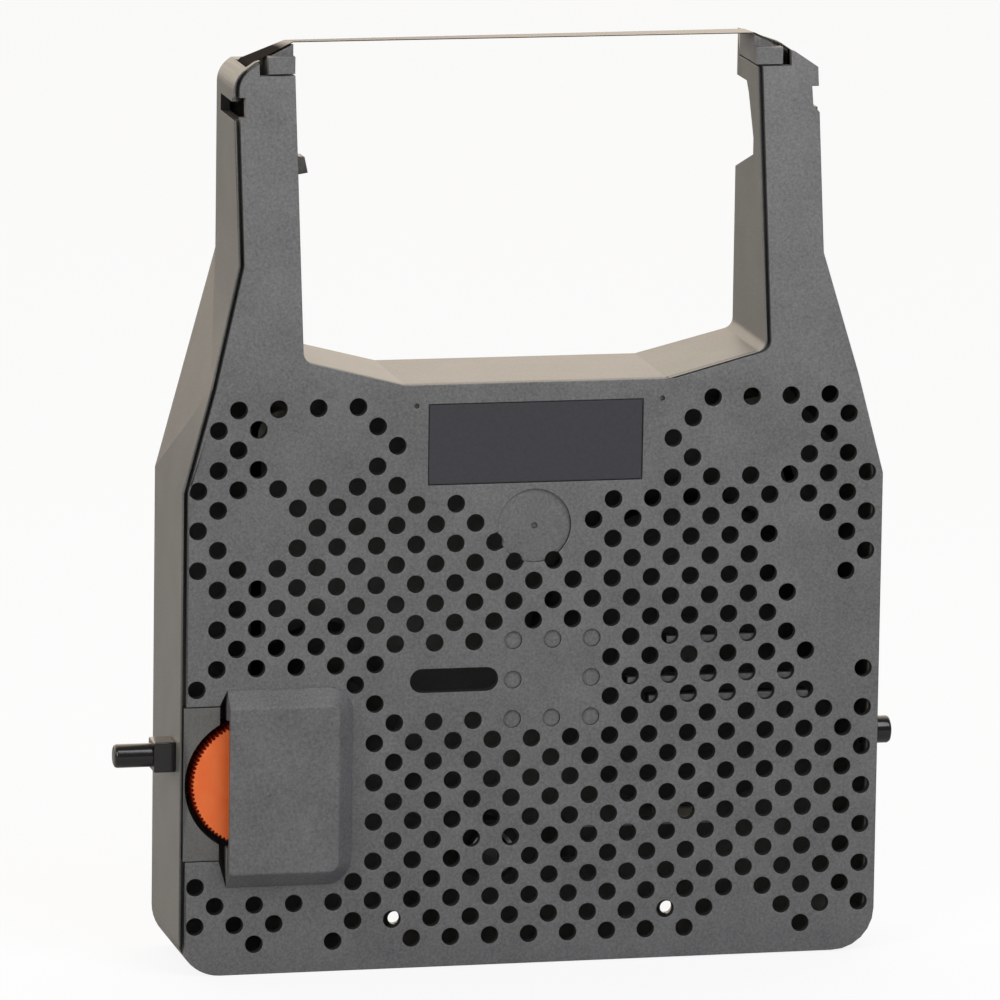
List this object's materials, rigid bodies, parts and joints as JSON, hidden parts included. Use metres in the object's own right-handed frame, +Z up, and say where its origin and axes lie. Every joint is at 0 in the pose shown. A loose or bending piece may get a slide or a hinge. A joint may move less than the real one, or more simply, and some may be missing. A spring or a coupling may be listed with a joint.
{
  "type": "typewriter ribbon cartridge",
  "caption": "Flat ribbon cartridge with a perforated cover, two upright arms that carry the film across a gap, a hooded thumb wheel and side pivot pins.",
  "frame": {"origin": "middle of the bottom edge that the cartridge stands on, half way through its depth", "axes": "+X to the right of the perforated front, +Y from the front to the back, +Z up to the arms"},
  "size_m": [0.1405, 0.028, 0.1635],
  "materials": {
    "base_grey": "moulded, fine spark texture",
    "cover_grey": "moulded, fine spark texture",
    "label_black": "smooth satin film",
    "wheel_orange": "moulded, satin",
    "film_black": "polyester film with a carbon coat",
    "acetal_white": "moulded acetal",
    "acetal_black": "moulded acetal",
    "smoke_plastic": "moulded, smooth",
    "spring_steel": "drawn and bright",
    "felt": "pressed wool felt"
  },
  "bodies": {
    "housing": {"base_housing": "base_grey", "perforated_cover": "cover_grey", "blank_label": "label_black", "brake_pad": "felt", "brake_spring": "spring_steel", "guide_pins": "spring_steel", "left_tip_guide": "base_grey", "right_tip_guide": "base_grey", "ribbon_run": "film_black", "left_pivot_pin": "smoke_plastic", "right_pivot_pin": "smoke_plastic"},
    "supply_spool": {"supply_core": "acetal_white", "supply_roll": "film_black"},
    "drive": {"thumb_wheel": "wheel_orange", "drive_shaft": "acetal_black", "drive_roller": "acetal_black"},
    "takeup_lever": {"takeup_arm": "acetal_black", "arm_spring": "spring_steel"},
    "takeup_spool": {"takeup_core": "acetal_white", "takeup_roll": "film_black"},
    "left_guide": {"left_guide_roller": "acetal_white"},
    "right_guide": {"right_guide_roller": "acetal_white"}
  },
  "joints": [
    {"name": "supply_spin", "type": "hinge", "parent": "housing", "child": "supply_spool", "pos_m": [0.0315, 0.0045, 0.052], "axis": [0, 1, 0], "continuous": true},
    {"name": "drive_spin", "type": "hinge", "parent": "housing", "child": "drive", "pos_m": [-0.0498, 0, 0.0344], "axis": [0, 1, 0], "continuous": true},
    {"name": "takeup_swing", "type": "hinge", "parent": "housing", "child": "takeup_lever", "pos_m": [-0.0055, 0, 0.0189], "axis": [0, 1, 0], "range_deg": [0, 21.6], "stiffness_Nm_per_rad": 0.01, "springref_deg": -68.75},
    {"name": "takeup_spin", "type": "hinge", "parent": "takeup_lever", "child": "takeup_spool", "pos_m": [-0.03309, 0.0045, 0.04593], "axis": [0, 1, 0], "continuous": true},
    {"name": "left_guide_spin", "type": "hinge", "parent": "housing", "child": "left_guide", "pos_m": [-0.0425, 0.0045, 0.0938], "axis": [0, 1, 0], "continuous": true},
    {"name": "right_guide_spin", "type": "hinge", "parent": "housing", "child": "right_guide", "pos_m": [0.0425, 0.0045, 0.0938], "axis": [0, 1, 0], "continuous": true}
  ],
  "couplings": [
    {"joint": "drive_spin", "follows": "supply_spin", "ratio": -3.6667},
    {"joint": "takeup_spin", "follows": "supply_spin", "ratio": 2.2},
    {"joint": "left_guide_spin", "follows": "supply_spin", "ratio": 7.8571},
    {"joint": "right_guide_spin", "follows": "supply_spin", "ratio": 7.8571}
  ]
}
